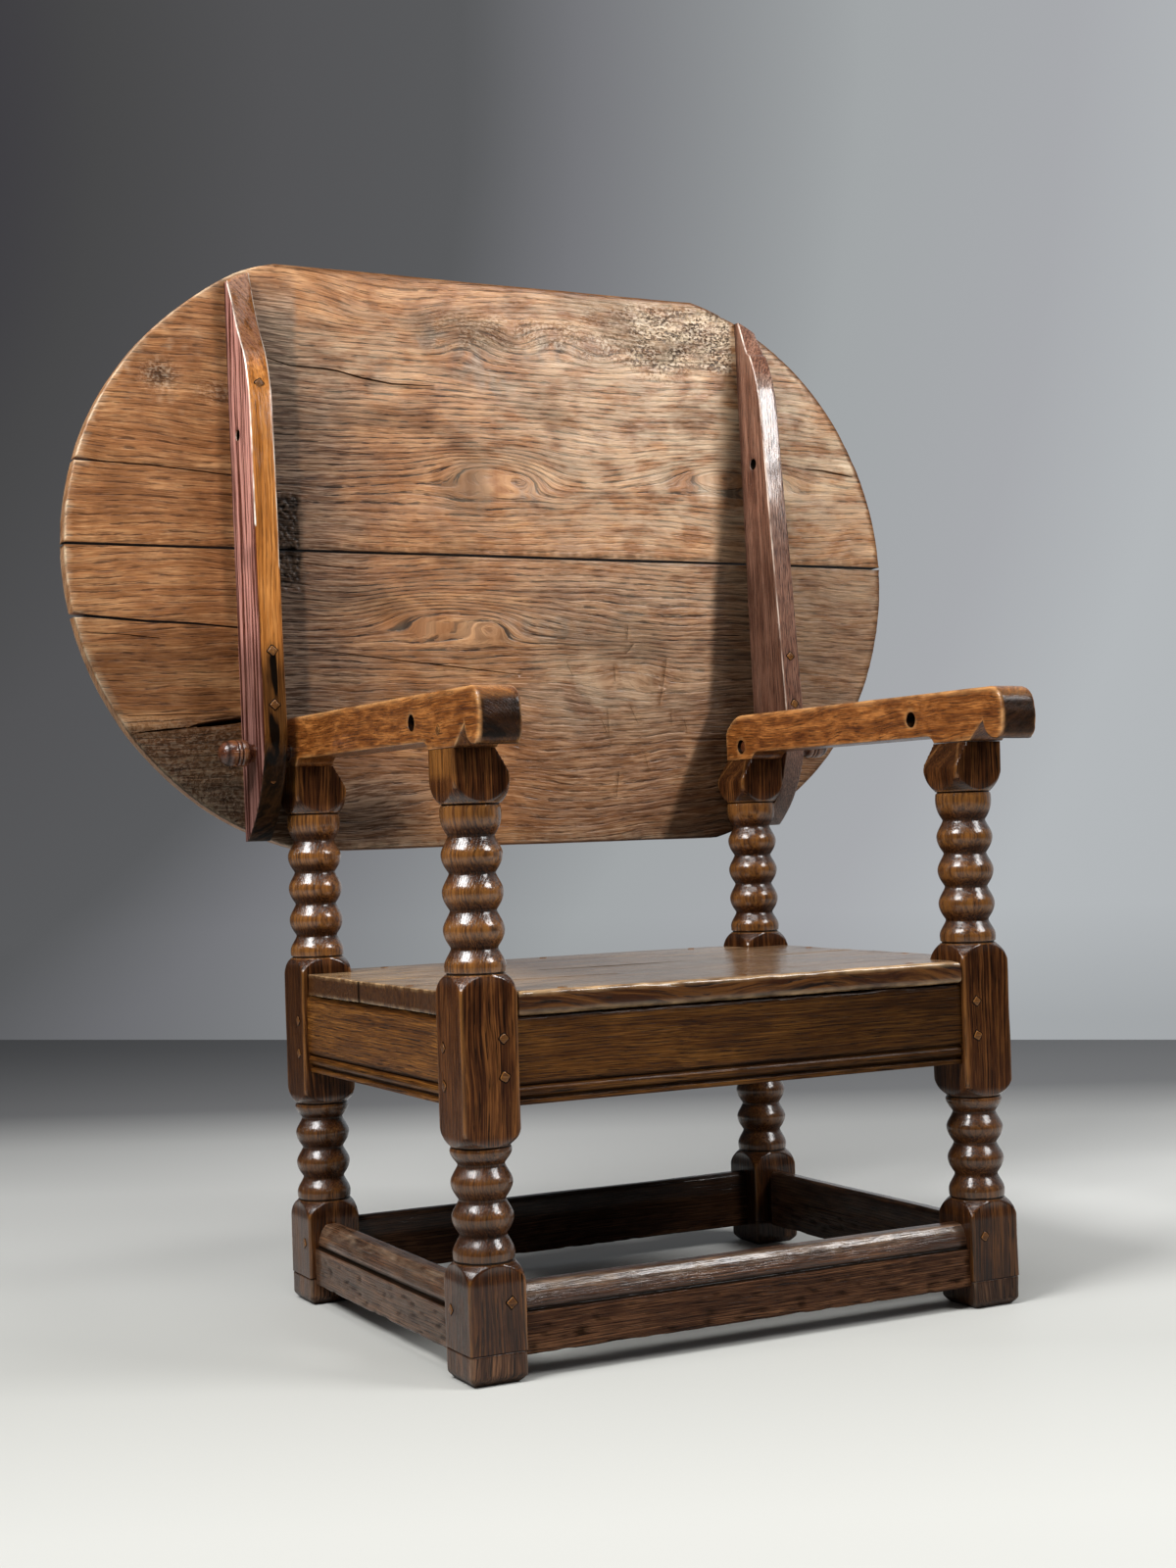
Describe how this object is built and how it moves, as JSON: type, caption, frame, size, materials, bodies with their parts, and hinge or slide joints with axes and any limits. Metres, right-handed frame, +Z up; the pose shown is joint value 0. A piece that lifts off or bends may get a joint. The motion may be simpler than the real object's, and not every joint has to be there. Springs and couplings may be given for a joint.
{
  "type": "chair table",
  "caption": "Oak armchair whose large rounded back swings down on turned pins to rest on the arms as a table top; bobbin-turned posts, board seat.",
  "frame": {"origin": "on the floor under the middle of the whole object in the chair pose", "axes": "+Z up, -Y the way the chair faces, +X to the right of someone looking at its front"},
  "size_m": [1.219, 0.6845, 1.3394],
  "materials": {
    "post_oak": "waxed dark oak",
    "weathered_oak": "worn dark oak",
    "arm_oak": "waxed oak",
    "rail_oak": "waxed oak",
    "seat_oak": "worn oak",
    "top_oak": "dry unfinished oak",
    "batten_oak": "oak",
    "pin_oak": "turned oak",
    "peg_oak": "oak"
  },
  "bodies": {
    "frame": {"post_front_left": "post_oak", "post_front_right": "post_oak", "post_rear_left": "post_oak", "post_rear_right": "post_oak", "foot_tip_front_left": "weathered_oak", "foot_tip_front_right": "weathered_oak", "foot_tip_rear_left": "weathered_oak", "foot_tip_rear_right": "weathered_oak", "arm_left": "arm_oak", "arm_right": "arm_oak", "seat_rail_front": "rail_oak", "seat_rail_rear": "rail_oak", "seat_rail_left": "rail_oak", "seat_rail_right": "rail_oak", "stretcher_front": "weathered_oak", "stretcher_rear": "weathered_oak", "stretcher_left": "weathered_oak", "stretcher_right": "weathered_oak", "seat_board_front": "seat_oak", "seat_board_rear": "seat_oak", "seat_pegs": "peg_oak", "rail_pegs": "peg_oak", "stretcher_pegs": "peg_oak", "arm_pegs": "peg_oak"},
    "table_top": {"table_board_upper": "top_oak", "table_board_lower": "top_oak", "batten_left": "batten_oak", "batten_right": "batten_oak", "batten_pegs_left": "peg_oak", "batten_pegs_right": "peg_oak"},
    "pivot_pin_left": {"pivot_pin_left": "pin_oak"},
    "pivot_pin_right": {"pivot_pin_right": "pin_oak"}
  },
  "joints": [
    {"name": "top_tilt", "type": "hinge", "parent": "frame", "child": "table_top", "pos_m": [0.0155, 0.24994, 0.695], "axis": [1, 0, 0], "range_deg": [0, 92]},
    {"name": "left_pin_pull", "type": "slide", "parent": "frame", "child": "pivot_pin_left", "axis": [-1, 0, 0], "range_m": [0, 0.09]},
    {"name": "right_pin_pull", "type": "slide", "parent": "frame", "child": "pivot_pin_right", "axis": [1, 0, 0], "range_m": [0, 0.09]}
  ]
}
